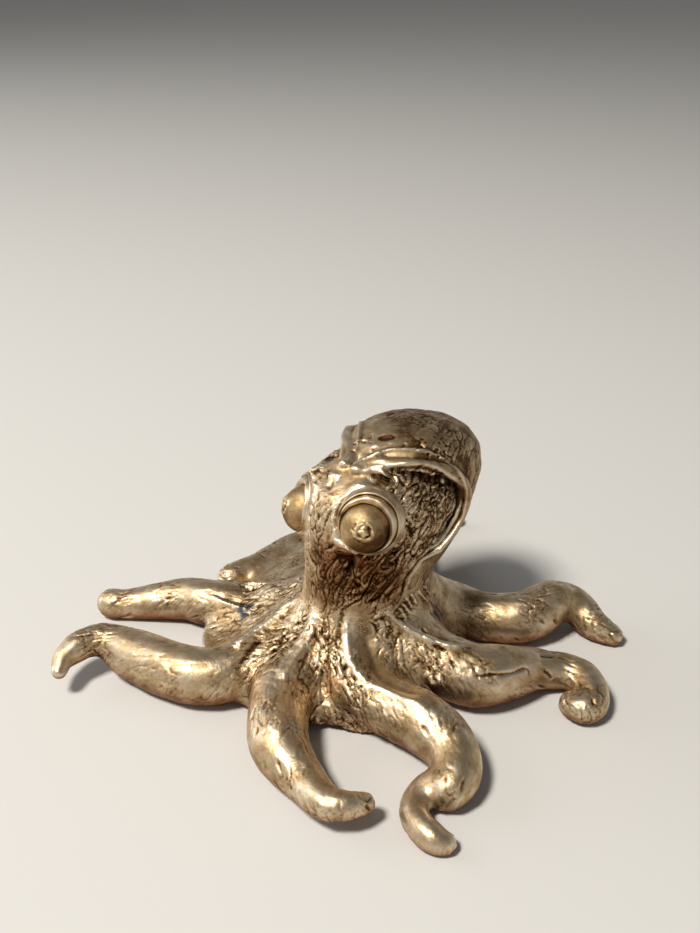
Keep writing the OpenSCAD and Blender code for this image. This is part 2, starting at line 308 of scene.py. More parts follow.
# Cheeks: wrinkled sides of the head, in the oval recesses of the hood, which they fill to
# just under the rims. They bulge out to 14 mm, and more steeply above than below.
RECESS_MIDDLE_Y = -1
RECESS_MIDDLE_Z = 41
RECESS_HALVES = (14.9, 10.9)
CHEEK_HALF_WIDTH = 14.0
CHEEK_MIDDLE_Y = 4
CHEEK_MIDDLE_Z = 40
CHEEK_HALF_LENGTH = 23
CHEEK_ABOVE = 13
CHEEK_BELOW = 17
CHEEK_LEAST = 4
OLD_DEPTH_KEPT = 0.03


def in_recess(half_length, half_height):
    """Whether each place is in an oval of that size, seen from the side, on a recess."""
    along = (P[:, 1] - RECESS_MIDDLE_Y) / half_length
    up = (P[:, 2] - RECESS_MIDDLE_Z) / half_height
    return along**2 + up**2 < 1


x, y, z = P.T
tall = np.where(z > CHEEK_MIDDLE_Z, CHEEK_ABOVE, CHEEK_BELOW)
along = 1 - ((y - CHEEK_MIDDLE_Y) / CHEEK_HALF_LENGTH) ** 2
up = 1 - ((z - CHEEK_MIDDLE_Z) / tall) ** 2
cheek = CHEEK_HALF_WIDTH * np.sqrt(np.maximum(along * up, 0))
sunk = in_recess(*RECESS_HALVES) & (np.abs(x) > CHEEK_LEAST) & (np.abs(x) < cheek)
# A trace of the old depth stays, so that the faces there don't fold flat.
out_to = (1 - OLD_DEPTH_KEPT) * cheek[sunk] + OLD_DEPTH_KEPT * np.abs(x[sunk])
P[sunk, 0] = np.sign(x[sunk]) * out_to

# The facets of the solids are rubbed away, less above the neck, where the rims stay crisp.
# The forehead is rubbed most, and the creases that are left by it, by the eyes and on the
# web are filled.
BODY_RUB = 0.95
HEAD_RUB = 0.45
FOREHEAD_RUB = 1.7
FOREHEAD = (-0.8, -6.5, 51.0)
# For each eye, its side and the place of its middle on the head's skin.
EYES = {
    "left": (1, (9.3, -11.8, 42.4)),
    "right": (-1, (-9.3, -11.8, 39.2)),
}
CREASE_REACH = 2.4


def within(points, centre, core, rim):
    """1 for points up to core mm from a centre, falling to 0 at rim mm."""
    return smoothstep(rim, core, np.linalg.norm(points - centre, axis=1))


def smoothed(centre, core, rim, reach):
    """The skin, blurred over reach mm round a place and left as it is past rim mm from it."""
    return P + (skin.spread(P, reach) - P) * within(P, centre, core, rim)[:, None]


def by_creases(points, out):
    """Share of wax at each place: by the forehead and the eyes, and on the web's top."""
    share = within(points, FOREHEAD, 5, 8)
    for side, centre in EYES.values():
        share += within(points, centre, 8, 11)
    share += smoothstep(24, 18, points[:, 2]) * smoothstep(-0.4, 0.1, out[:, 2])
    return np.clip(share, 0, 1)


smooth = skin.spread(P, BODY_RUB)
crisp = skin.spread(P, HEAD_RUB)
above_neck = smoothstep(26, 32, P[:, 2])[:, None]
P = smooth + (crisp - smooth) * above_neck
P = smoothed(FOREHEAD, 5, 8, FOREHEAD_RUB)
P = skin.fill(P, CREASE_REACH, by_creases)
normal = skin.normals(P)

# Hood: the mantle's edge runs round each cheek as a thin bead, a smooth band and a lower
# bead that overhangs. The wax was cut and rolled, so the lines are crisp. The points below
# are places on the skin of the left side, and the right side mirrors them.
BAND_TOP = [
    (1.6, -4.4, 52.4), (3.8, -0.3, 53.5), (5.8, 1.9, 53.8), (7.8, 4.0, 53.6), (9.4, 6.0, 53.1),
    (10.9, 7.6, 52.2), (12.4, 9.0, 50.9), (14.4, 9.6, 49.5), (15.5, 10.7, 47.4),
    (15.8, 11.8, 44.6), (15.6, 12.4, 42.5), (15.3, 12.4, 40.1), (15.2, 11.7, 37.6),
    (15.0, 10.1, 35.4), (14.8, 7.9, 33.4), (14.6, 5.8, 31.7), (13.4, 4.8, 29.5), (12.9, 1.7, 28.2),
]
BAND_MIDDLE = [
    (2.5, -4.5, 52.2), (5.0, -1.5, 53.0), (7.0, 0.8, 53.3), (9.0, 3.0, 53.0), (10.8, 5.0, 52.4),
    (12.2, 7.0, 51.3), (13.5, 8.5, 50.0), (14.8, 9.6, 48.3), (15.5, 11.0, 46.0),
    (15.6, 12.0, 43.0), (15.2, 11.8, 38.0), (14.8, 9.0, 34.5), (14.4, 6.5, 32.0), (13.2, 3.5, 29.3),
]
BAND_LOW = [
    (3.0, -6.8, 51.2), (4.3, -4.1, 51.0), (6.1, -2.6, 51.6), (8.1, -0.8, 52.2), (10.0, 1.6, 52.3),
    (11.9, 4.4, 51.8), (13.1, 5.5, 50.8), (14.2, 7.2, 49.5), (15.0, 9.1, 47.6), (15.3, 10.5, 45.8),
    (15.4, 11.6, 44.1),
]
UNDERCUT = [
    (6.6, -1.5, 49.9), (9.2, -0.1, 51.0), (11.5, 2.5, 51.2), (12.8, 4.6, 50.1), (13.3, 7.4, 48.0),
    (13.9, 9.4, 46.5), (14.0, 11.3, 44.5),
]
INNER_LIP = [
    (14.2, 12.1, 40.4), (14.2, 11.7, 38.7), (13.9, 10.5, 36.7), (13.6, 8.8, 34.9),
    (13.2, 7.2, 33.8), (12.9, 4.7, 33.1), (13.0, 1.9, 32.8), (13.1, -0.2, 32.0),
    (13.1, -1.2, 30.6), (12.9, -3.0, 28.9),
]
LIP_GROOVE = [
    (15.0, 12.0, 42.4), (14.8, 12.1, 40.1), (14.9, 11.3, 37.3), (14.6, 9.5, 35.3),
    (14.4, 7.2, 33.6), (14.0, 4.4, 32.2), (13.5, 2.3, 31.0), (13.1, 0.5, 29.9),
    (13.0, -2.1, 28.2), (12.8, -3.3, 26.1), (12.7, -3.6, 23.6),
]
CURVE_STEP = 0.4
STRAIGHT_STEPS = 12


def curve(points):
    """Smooth curve through the points, in steps of about 0.4 mm, or a straight line of two."""
    p = np.array(points, float)
    if len(p) == 2:
        return np.linspace(*p, STRAIGHT_STEPS)
    p = np.array([2 * p[0] - p[1], *p, 2 * p[-1] - p[-2]])
    out = []
    for a, b, c, d in zip(p, p[1:], p[2:], p[3:]):
        steps = max(2, int(np.linalg.norm(c - b) / CURVE_STEP))
        t = np.linspace(0, 1, steps, endpoint=False)[:, None]
        out.append(b + (c - a) * t / 2 + (a - 2.5 * b + 2 * c - d / 2) * t**2)
        out[-1] += (1.5 * b - a / 2 - 1.5 * c + d / 2) * t**3
    return np.concatenate([*out, p[-2:-1]])


def away(points, far):
    """Distance of the skin from a line of points, up to far, the number of the line's
    nearest step, and the way that the skin faces at each step."""
    line = curve(points)
    near = np.flatnonzero(((P > line.min(0) - far) & (P < line.max(0) + far)).all(1))
    gap = np.full(len(P), far, float)
    which = np.zeros(len(P), int)
    table = np.linalg.norm(P[near][:, None] - line[None], axis=2)
    gap[near] = table.min(1)
    which[near] = table.argmin(1)
    facing = normal[near[table.argmin(0)]]
    return gap, which, facing


def bell(x, width):
    """1 where x is 0, and next to nothing past two widths from there."""
    return np.exp(-((x / width) ** 2))


def stroke(points, width, rise, taper=0.25):
    """Raises the skin by rise mm along a line, or cuts it where rise is below 0. The line is
    drawn on to the skin first, and fades out over the share taper of its length at each end."""
    points = [P[np.linalg.norm(P - point, axis=1).argmin()] for point in points]
    gap, which, facing = away(points, 3 * width)
    near = np.flatnonzero(gap < 3 * width)
    agree = np.clip((normal[near] * facing[which[near]]).sum(1) * 2, 0, 1)
    along = which[near] / (len(facing) - 1)
    ends = smoothstep(0, taper, along) * smoothstep(0, taper, 1 - along) if taper else 1
    shape = bell(gap[near], width) * agree * ends
    P[near] += normal[near] * (rise * shape)[:, None]


# Each line has its width and its rise, or its cut where that is below 0.
for side in (1, -1):
    for points, width, rise in (
        (BAND_TOP, 0.42, 0.45),
        (BAND_LOW, 0.6, 0.35),
        (UNDERCUT, 0.7, -0.6),
        (INNER_LIP, 0.7, 0.35),
        (LIP_GROOVE, 0.5, -0.6),
    ):
        stroke([(side * x, y, z) for x, y, z in points], width, rise, 0.08)

# Brow: the beads run together over the near eye, with a soft lobe under them and a low
# bump over the far one. Behind it, a small pit is sunk in the top of the hood.
BROW_BEAD = [
    (-2.4, -7.1, 51.7), (-0.9, -7.2, 51.4), (0.3, -5.9, 51.6), (1.6, -4.4, 52.4), (3.6, -0.7, 53.4),
]
BROW_ROLL = [
    (-0.6, -6.8, 50.9), (1.2, -6.9, 51.0), (3.0, -6.6, 51.1), (4.6, -3.8, 51.0), (6.3, -2.4, 51.6),
]
BROW_CUT = [
    (-2.0, -7.8, 51.0), (-0.4, -7.6, 50.2), (2.2, -7.6, 50.0), (4.6, -4.4, 49.4), (6.7, -1.8, 50.0),
]
NEAR_LOBE = [(3.0, -9.4, 48.6), (4.6, -8.9, 48.9), (6.2, -7.6, 49.0)]
FAR_BUMP = [(-8.6, -10.2, 46.8), (-7.4, -9.4, 47.2), (-5.5, -9.7, 47.5)]
BETWEEN_EYES = [(-3.3, -9.6, 48.5), (-1.9, -9.3, 49.2), (-0.2, -9.3, 49.3)]
HOOD_PIT = [(0.8, 2.1, 54.8), (2.1, 3.2, 55.0)]

stroke(BROW_BEAD, 0.42, 0.45, 0.1)
stroke(BROW_ROLL, 0.55, 0.4, 0.3)
stroke(BROW_CUT, 0.6, -0.2, 0.3)
stroke(NEAR_LOBE, 1.2, 0.6, 0.3)
stroke(FAR_BUMP, 1.5, 0.6)
P = smoothed((-7.2, -9.8, 47.0), 2.5, 4.5, 1.0)
stroke(BETWEEN_EYES, 1.0, 0.5)
stroke(HOOD_PIT, 0.8, -0.45, 0)
P = smoothed((4.2, -7.6, 49.2), 3, 5, 0.6)

# Neck, web and arms: ridges run from the neck out into the arms, the left front one with a
# smooth valley beside it, and a modelling tool left creases in the wax.
NECK_RIDGE = [
    (-3.4, -15.3, 36.6), (-4.5, -14.7, 32.2), (-5.4, -14.1, 26.4), (-6.3, -13.7, 20.5),
    (-5.8, -15.3, 17.8), (-6.0, -18.6, 14.8),
]
LEFT_FRONT_CREST = [
    (6.7, -13.3, 21.9), (7.1, -14.5, 17.3), (9.8, -17.1, 15.0), (11.7, -18.4, 14.1),
    (15.6, -19.3, 13.0), (18.7, -19.4, 12.3), (20.8, -18.3, 12.4), (24.3, -17.2, 12.3),
    (29.2, -16.6, 12.2), (32.7, -16.6, 11.7),
]
LEFT_FRONT_VALLEY = [
    (8.4, -12.0, 21.5), (8.6, -11.9, 20.0), (9.8, -12.2, 16.7), (13.2, -13.8, 13.5),
    (18.4, -15.6, 12.8), (24.0, -15.6, 12.5), (28.9, -13.9, 12.3),
]
LEFT_SIDE_CREST = [
    (11.3, -7.8, 21.9), (12.3, -6.4, 19.0), (15.8, -4.3, 16.5), (19.6, -2.4, 15.0),
    (23.2, -0.5, 14.1), (26.4, 3.0, 13.6),
]
RIGHT_FRONT_CREST = [
    (-7.6, -13.9, 18.5), (-9.6, -17.0, 15.7), (-10.3, -21.2, 13.8), (-10.8, -26.5, 12.6),
    (-11.0, -32.0, 11.9),
]
FRONT_CREST = [(-1.0, -15.4, 20.4), (-0.2, -18.6, 15.8), (1.9, -25.0, 13.1), (4.7, -31.7, 12.3)]
THROAT_HOLLOW = [(7.0, -14.5, 37.0), (6.8, -14.0, 33.0), (6.5, -14.0, 28.0), (6.3, -14.2, 23.5)]
RIGHT_SIDE_DIP = [(-27.6, -11.5, 11.5), (-26.8, -15.5, 11.3), (-25.6, -19.5, 9.8)]
RIGHT_FRONT_CREASE = [
    (-8.6, -24.4, 12.8), (-7.9, -28.9, 11.7), (-7.0, -32.5, 10.4), (-6.6, -34.1, 9.5),
]
LEFT_SIDE_TOP_CREASE = [(20.0, -2.6, 14.7), (21.9, -1.9, 14.2), (23.6, -1.2, 13.8)]
LEFT_SIDE_FLANK_CREASE = [
    (30.1, -1.4, 10.5), (32.4, 1.5, 10.7), (34.9, 6.1, 9.9), (35.7, 10.4, 9.4), (36.7, 10.7, 8.0),
    (37.4, 11.7, 6.6),
]
LEFT_SIDE_BEND_CREASE = [(37.4, 14.9, 7.2), (38.3, 15.6, 6.1), (39.1, 16.2, 5.0)]
LEFT_WEB_LUMP = [(22.8, -6.0, 7.9), (24.3, -5.4, 8.1), (26.1, -4.7, 8.4)]
THROAT_FOLD = [(9.0, -15.1, 39.0), (6.8, -13.5, 33.1), (5.8, -13.9, 27.8)]
LOW_THROAT_FOLD = [(5.8, -13.9, 24.0), (5.4, -14.1, 20.2), (5.7, -15.5, 17.2), (7.2, -17.8, 15.3)]
# Short ribs that a tool pressed up side by side, on the web below the left cheek.
TOOL_MARKS = [
    [(12.5, -4.7, 21.2), (14.2, -3.7, 18.0)],
    [(12.6, -3.9, 21.9), (14.0, -2.3, 18.5)],
    [(12.7, -3.0, 22.9), (13.3, -1.3, 19.6)],
    [(13.0, -1.4, 23.3), (13.3, 0.2, 19.6)],
    [(12.9, 0.9, 22.6), (13.2, 4.0, 18.0)],
    [(12.5, 3.4, 22.6), (12.3, 6.1, 18.3)],
]

stroke(THROAT_HOLLOW, 2.6, -1.5)
stroke(RIGHT_SIDE_DIP, 3.6, -2.0, 0.1)
stroke(LEFT_FRONT_VALLEY, 2.2, -1.0, 0.2)
stroke(LEFT_FRONT_CREST, 1.3, 0.55, 0.15)
stroke(NECK_RIDGE, 1.8, 0.6, 0.2)
stroke(LEFT_SIDE_CREST, 0.9, 0.9, 0.12)
stroke(RIGHT_FRONT_CREST, 1.1, 0.9, 0.12)
stroke(FRONT_CREST, 1.8, 0.9, 0.15)
stroke(RIGHT_FRONT_CREASE, 0.6, -0.6)
stroke(LEFT_SIDE_TOP_CREASE, 0.4, -0.4)
stroke(LEFT_SIDE_FLANK_CREASE, 0.4, -0.45)
stroke(LEFT_SIDE_BEND_CREASE, 0.4, -0.4)
stroke(LEFT_WEB_LUMP, 1.2, 0.9)
stroke(THROAT_FOLD, 0.8, -0.5)
stroke(LOW_THROAT_FOLD, 0.7, -0.5)
for mark in TOOL_MARKS:
    stroke(mark, 0.34, 0.5, 0.2)

# Crumple: the wax was pressed and picked, and the casting kept it as short cracks that
# run along the arms and up the cheeks. The flow is the way that they run: on the arms it
# leads away from the neck over the skin, and on the head it leads up and back.
NECK_Z = 19
STEP_IN_GRAINS = 1.2
UP_THE_CHEEK = (0.0, 0.75, 0.65)

steps = np.where(P[:, 2] > NECK_Z, 0, -1)
front = steps == 0
while front.any():
    hit = np.zeros(skin.count, bool)
    hit[skin.b[front[skin.a]]] = True
    hit[skin.a[front[skin.b]]] = True
    front = hit & (steps < 0)
    steps[front] = steps.max() + 1
from_neck = skin.spread(steps * GRAIN * STEP_IN_GRAINS, 1.5)
A, B = np.concatenate(
    [np.stack([skin.a, skin.b], 1), QUADS[:, [0, 2]], QUADS[:, [1, 3]]]
).T
edge = P[B] - P[A]
length = np.maximum(np.linalg.norm(edge, axis=1), 1e-6)
pull = edge * ((from_neck[B] - from_neck[A]) / length**2)[:, None]
flow = np.stack([skin.gather(A, pull[:, k]) + skin.gather(B, pull[:, k]) for k in range(3)], 1)
upper = smoothstep(16, 22, P[:, 2])[:, None]
flow = unit(flow) * (1 - upper) + unit(np.array(UP_THE_CHEEK)) * upper
normal = skin.normals(P)
flow = unit(flow - normal * (flow * normal).sum(1)[:, None])


def streaks(reach, across, seed):
    """Noise over the skin that runs on along the flow for reach mm and is across mm thick."""
    x = skin.spread(np.random.default_rng(seed).standard_normal(skin.count), across)
    # A neighbour that lies along the flow weighs most, and one across it next to nothing.
    along = np.abs((edge * flow[A]).sum(1)) / length
    weight = along**5 + 0.05
    total = skin.gather(A, weight) + skin.gather(B, weight)
    for _ in range(skin.passes(reach)):
        blurred = skin.gather(A, weight * x[B]) + skin.gather(B, weight * x[A])
        x = 0.4 * x + 0.6 * blurred / total
    x = x - skin.spread(x, 2.5 * across + reach)
    return x / x.std()


rng = np.random.default_rng(8)
shuffle = rng.permutation(256)
slopes = unit(rng.standard_normal((256, 3)))


def noise(points):
    """Smooth noise of points, with one wave to a unit. A number added to the points
    gives another noise of the same kind."""
    cell = np.floor(points).astype(int)
    f = points - cell
    u = f * f * f * (f * (f * 6 - 15) + 10)
    total = np.zeros(len(points))
    for corner in np.ndindex(2, 2, 2):
        c = (cell + corner) & 255
        pick = shuffle[(shuffle[(shuffle[c[:, 0]] + c[:, 1]) & 255] + c[:, 2]) & 255]
        weight = np.where(np.array(corner) == 1, u, 1 - u).prod(1)
        total += weight * (slopes[pick] * (f - corner)).sum(1)
    return total


def off_line(points):
    """Distance of the skin from a line of points, up to 5 mm."""
    return away(points, 5)[0]


# How crumpled each place is, from 0 to 1, by its height, its distance from the neck's axis
# and its bearing: patches on the arms, little on top of the hood, all over the cheeks.
CRUMPLED_CHEEK_HALVES = (14, 10)
x, y, z = P.T
radius = np.hypot(x, y)
bearing = np.degrees(np.arctan2(y, x))
patches = smoothstep(-0.15, 0.35, noise(P / 8))
rough = 0.08 + 0.36 * patches
on_top = smoothstep(44, 50, z)
rough = rough * (1 - on_top) + on_top * 0.1
in_cheek = in_recess(*CRUMPLED_CHEEK_HALVES) & (np.abs(x) > 5) & (np.abs(x) < CHEEK_HALF_WIDTH)
rough = np.where(in_cheek, 1.0, rough)
# The throat, the web between the front arms, and the rear of the hood.
throat = smoothstep(50, 45, z) * smoothstep(14, 20, z) * smoothstep(2, -6, y)
rough = np.maximum(rough, (0.5 + 0.4 * patches) * throat)
web = smoothstep(24, 18, z) * smoothstep(40, 26, radius) * smoothstep(8, 13, radius)
front_web = smoothstep(-168, -155, bearing) * smoothstep(5, -15, bearing)
rough = np.maximum(rough, (0.55 + 0.45 * patches) * web * front_web)
hood_rear = smoothstep(33, 47, z) * smoothstep(2, 9, y + x * 0.4)
rough = np.maximum(rough, 0.45 * hood_rear * smoothstep(-0.3, 0.1, noise(P / 6 + 5)))
# The crests are rubbed plainer, and the valley, the near brow and the bands are smooth.
crests = np.zeros(len(P))
for crest, clear in (
    (NECK_RIDGE, 3.0),
    (LEFT_FRONT_CREST, 1.8),
    (RIGHT_FRONT_CREST[:4], 1.8),
    (FRONT_CREST, 1.8),
    (LEFT_SIDE_CREST[:4], 1.8),
):
    gap = off_line(crest)
    rough *= 0.35 + 0.65 * smoothstep(0.4, clear, gap)
    crests = np.maximum(crests, smoothstep(2.6, 0.6, gap))
plain = smoothstep(1.2, 2.6, off_line(LEFT_FRONT_VALLEY))
plain *= 1 - 0.7 * within(P, (3.2, -8.4, 49.2), 3, 5)
for side in (1, -1):
    plain *= smoothstep(1.2, 2.2, off_line([(side * a, b, c) for a, b, c in BAND_MIDDLE]))
rough *= plain
rough = skin.spread(rough, 0.7)

# Relief: cracks and finer cracks where the casting is crumpled, nicks outside the smooth
# places, pits in the top of the hood, and a soft swell everywhere. The sizes are in mm.
CRACK_DEPTH = 0.55
FINE_DEPTH = 0.34
CRACK_WIDTH = 0.3
NICK_DEPTH = 0.3
PIT_DEPTH = 0.4
LUMP_HEIGHT = 0.15
FINE_HEIGHT = 0.12
SWELL_HEIGHT = 0.25

cracks = streaks(1.5, 0.42, 3)
fine = streaks(0.7, 0.32, 4)
lumps = noise(P / 3.6) + 0.5 * noise(P / 1.8 + 9)
broken = smoothstep(-0.3, 0.1, noise(P / 3 + 3))
relief = -CRACK_DEPTH * bell(cracks, CRACK_WIDTH) * rough * broken
relief -= FINE_DEPTH * bell(fine, CRACK_WIDTH) * rough
relief *= 1 - 0.2 * web
nicks = streaks(1.3, 0.28, 11)
relief -= NICK_DEPTH * plain * smoothstep(1.6, 2.6, nicks) * smoothstep(-0.25, 0.2, noise(P / 5 + 2))
pitted = within(P, (9.5, 9.0, 52.5), 2.5, 5)
pitted += within(P, (-1.5, -1.0, 53.4), 2, 4)
relief -= PIT_DEPTH * pitted * smoothstep(0.12, 0.3, noise(P / 1.1 + 7))
swell = LUMP_HEIGHT * lumps * (0.8 + 0.5 * rough) + FINE_HEIGHT * fine * rough**2
relief += swell + SWELL_HEIGHT * noise(P / 7 + 6)
P = P + normal * skin.spread(relief, 0.12)[:, None]
P[:, 2] = np.maximum(P[:, 2], 0)

# Eye seats: the skin is let in under the eyes, which are made apart. An eye's frame has
# its x axis down the face and its z axis out of it, with the seat as the plane z = 0.
EYE_OUT = 35
EYE_LEAN = 71
SEAT_DEPTH = 3.0
LID_RADIUS = 6.4
LID_UP = -1.2
LID_BACK = 0.8
LET_IN_TO = 1.0


def eye_frame(side, centre):
    """Axes as rows, and the origin, of an eye's frame."""
    turn = math.radians(side * EYE_OUT - 90)
    lean = math.radians(EYE_LEAN)
    out = np.array([math.sin(lean) * math.cos(turn), math.sin(lean) * math.sin(turn), math.cos(lean)])
    down = np.array([math.cos(lean) * math.cos(turn), math.cos(lean) * math.sin(turn), -math.sin(lean)])
    return np.array([down, np.cross(out, down), out]), np.array(centre) - out * SEAT_DEPTH


for side, centre in EYES.values():
    axes, origin = eye_frame(side, centre)
    local = (P - origin) @ axes.T
    off = np.linalg.norm(local[:, :2] - (LID_UP, side * LID_BACK), axis=1)
    # The skin comes up again in a steep cone from just inside the collar's rim.
    cap = LET_IN_TO + 2.6 * np.clip((off - LID_RADIUS + 0.1) / 0.9, 0, 9)
    deep = (off < LID_RADIUS + 3) & (local[:, 2] > cap) & (local[:, 2] > -SEAT_DEPTH)
    local[deep, 2] = cap[deep]
    P[deep] = local[deep] @ axes + origin

# Wear: patina stays in the hollows, handling rubs it off the crests, and the hood's rear is
# darker. The throat under the near eye is darkened as painted shade, and faces that look
# down are browner as a painted brown reflection and painted shade. Each mark is a number
# from 0 to 1.
normal = skin.normals(P)


def dip(reach, depth):
    """How far the skin lies under its own mean over reach mm, in parts of depth mm."""
    return ((skin.spread(P, reach) - P) * normal).sum(1) / depth


# Painted shade: the throat under the near eye, where the head overhangs the neck, is darkened.
shaded = smoothstep(11, 6, np.abs(x - 7)) * smoothstep(40, 34, z) * smoothstep(19, 25, z)
shaded *= smoothstep(-1, -6, y)
patina_and_shade = np.clip(0.42 + 0.2 * dip(0.3, 0.06) + 0.14 * dip(1.2, 0.3) + 0.12 * shaded, 0, 1)
patina_and_shade = np.clip(patina_and_shade - 0.07 * crests + 0.12 * hood_rear, 0, 1)
# Painted reflection and shade: faces that look down are browned, most of all low down, and the throat's
# painted shade is added.
underside = smoothstep(0.3, -0.55, normal[:, 2]) * (0.6 + 0.4 * smoothstep(30, 10, P[:, 2]))
underside = np.clip(underside + 0.45 * shaded, 0, 1)
# Stains: an oval red-brown pit on the hood, and blue-grey specks in two of the webs. The
# distance from the pit is in parts of its size, and 1 more below the hood's top.
off_pit = (P[:, :2] - (1.4, 2.6)) @ np.array([(0.5, -0.8), (0.5, 0.8)])
off_pit = np.hypot(*off_pit.T) + (P[:, 2] < 50)
rust = smoothstep(1.1, 0.7, off_pit)
patina_and_shade = np.clip(patina_and_shade + 0.35 * bell(off_pit - 1, 0.25), 0, 1)
specks = within(P, (14.1, 5.7, 14.2), 1.5, 3.4)
specks += within(P, (-22.5, -18.0, 8.9), 1.5, 3.8)
specks *= smoothstep(-0.1, 0.15, noise(P / 1.3 + 2))
MARKS = {"patina_and_shade": patina_and_shade, "underside": underside, "rough": rough, "rust": rust, "specks": specks}

# Brass: cast from a wax model, browned by age and rubbed by hands. The eye sees pale satin
# metal on the high places, brown on the slopes and a dull, nearly black patina in the
# hollows. The casting's grit is drawn coarser than it is, so that it shows.
CRACK_MM = 1.613
BLOTCH_MM = 3.846
GRIT_MM = 0.625
BUMP_MM = 0.2
PATINA = "#20130a"
# Brown that faces looking down are multiplied by: painted reflection and painted shade.
SHADE = "#a0692a"
RUST = "#5f3629"
SPECKS = "#454b51"
PATINA_DULLNESS = 0.64


def cast_brass(name, rubbed, worn, brown, dullness):
    """Brass of three colours, from its high places down, and the dullness of the highest."""
    material = bpy.data.materials.new(name)
    material.use_nodes = True
    tree = material.node_tree
    shader = tree.nodes["Principled BSDF"]
    place = add(tree, "ShaderNodeTexCoord").outputs["Object"]
    mark = {
        label: add(tree, "ShaderNodeAttribute", attribute_name=label).outputs["Fac"]
        for label in MARKS
    }

    # Fine cracks, where a noise crosses its middle, drawn most where the casting is crumpled.
    crumple = add(
        tree,
        "ShaderNodeTexNoise",
        {"Vector": place, "Scale": 1 / (CRACK_MM * MM), "Detail": 3, "Roughness": 0.55, "Distortion": 0.6},
    )
    off = add(tree, "ShaderNodeMath", {0: crumple, 1: 0.5}, operation="SUBTRACT")
    off = add(tree, "ShaderNodeMath", {0: off}, operation="ABSOLUTE")
    line = add(tree, "ShaderNodeMapRange", {0: off, 1: 0.0, 2: 0.05, 3: 1.0, 4: 0.0})
    share = add(tree, "ShaderNodeMath", {0: mark["rough"], 1: mark["rough"]}, operation="MULTIPLY")
    share = add(tree, "ShaderNodeMath", {0: 0.12, 1: share}, operation="ADD")
    crack = add(tree, "ShaderNodeMath", {0: line, 1: share}, operation="MULTIPLY")

    # The patina's level: how hollow the place is, with painted shade on the throat and on the
    # eyes' lower sides, shifted in blotches and by the cracks.
    blotch = add(
        tree,
        "ShaderNodeTexNoise",
        {"Vector": place, "Scale": 1 / (BLOTCH_MM * MM), "Detail": 5, "Roughness": 0.6},
    )
    shift = add(tree, "ShaderNodeMapRange", {0: blotch, 1: 0.3, 2: 0.7, 3: -0.12, 4: 0.12})
    level = add(tree, "ShaderNodeMath", {0: mark["patina_and_shade"], 1: shift}, operation="ADD")
    darker = add(tree, "ShaderNodeMath", {0: crack, 1: 0.28}, operation="MULTIPLY")
    level = add(tree, "ShaderNodeMath", {0: level, 1: darker}, operation="ADD")
    patina = add(tree, "ShaderNodeValToRGB", {0: level})
    ramp = patina.color_ramp
    ramp.elements[0].position = 0.25
    ramp.elements[0].color = rgb(rubbed)
    ramp.elements[1].position = 0.88
    ramp.elements[1].color = rgb(PATINA)
    ramp.elements.new(0.43).color = rgb(worn)
    ramp.elements.new(0.6).color = rgb(brown)
    dull = add(tree, "ShaderNodeMapRange", {0: level, 1: 0.3, 2: 0.8, 3: dullness, 4: PATINA_DULLNESS})

    colour = patina.outputs[0]
    # Faces that look down, and the throat, are multiplied towards brown as a painted reflection and
    # painted shade; rust and specks are stains.
    for label, stain, blend in (
        ("underside", SHADE, "MULTIPLY"),
        ("rust", RUST, "MIX"),
        ("specks", SPECKS, "MIX"),
    ):
        inputs = {0: mark[label], 6: colour, 7: rgb(stain)}
        colour = add(tree, "ShaderNodeMix", inputs, data_type="RGBA", blend_type=blend).outputs[2]

    grit = add(
        tree,
        "ShaderNodeTexNoise",
        {"Vector": place, "Scale": 1 / (GRIT_MM * MM), "Detail": 3, "Roughness": 0.6},
    )
    depth = add(tree, "ShaderNodeMath", {0: grit, 1: 0.45}, operation="MULTIPLY")
    depth = add(tree, "ShaderNodeMath", {0: depth, 1: crack}, operation="SUBTRACT")
    bump = add(tree, "ShaderNodeBump", {"Height": depth, "Strength": 0.45, "Distance": BUMP_MM * MM})
    tree.links.new(colour, shader.inputs["Base Color"])
    tree.links.new(dull.outputs[0], shader.inputs["Roughness"])
    tree.links.new(bump.outputs[0], shader.inputs["Normal"])
    shader.inputs["Metallic"].default_value = 1
    return material


BRASS = {"aged_brass": cast_brass("aged_cast_brass", "#e2d1b6", "#bda37d", "#6a4e2f", 0.41)}


def brass_piece(name, points, faces, marks, shading=None, slot="aged_brass"):
    """A closed piece of brass for the CAD node of that name, from mm."""
    mesh = bpy.data.meshes.new("brass_" + name)
    mesh.from_pydata((points * MM).tolist(), [], faces)
    mesh.materials.append(BRASS[slot])
    mesh.shade_smooth()
    if shading is not None:
        mesh.normals_split_custom_set_from_vertices(shading.tolist())
    for label, column in marks.items():
        column = np.append(column, np.zeros(len(points) - len(column)))
        layer = mesh.attributes.new(label, "FLOAT", "POINT")
        layer.data.foreach_set("value", column.astype(np.float32))
    piece = bpy.data.objects.new("brass_" + name, mesh)
    bpy.context.collection.objects.link(piece)
    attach(piece, "root")
    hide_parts(name)


# Arms, web, head and hood: each place of the skin goes to the CAD zone nearest to it, and
# each piece is closed through the casting's inside, where the zones meet.
VOTE_EVERY = 3
VOTE_REACH = 0.6
BOX_MARGIN = 2
TOO_FAR = 1e9


def loops(quads):
    """Closed loops of vertices round the open edges of some quads, each vertex once a loop."""
    rim = np.concatenate([quads[:, [i, (i + 1) % 4]] for i in range(4)])
    key = rim.astype(np.int64).min(1) * skin.count + rim.max(1)
    _, first, uses = np.unique(key, return_index=True, return_counts=True)
    after = {}
    for u, v in rim[first[uses == 1]].tolist():
        after.setdefault(u, []).append(v)
    found = []
    while after:
        path = [next(iter(after))]
        while after.get(path[-1]):
            v = after[path[-1]].pop()
            if not after[path[-1]]:
                del after[path[-1]]
            if v in path:
                at = path.index(v)
                found.append(path[at:])
                path = path[: at + 1]
            else:
                path.append(v)
    return found


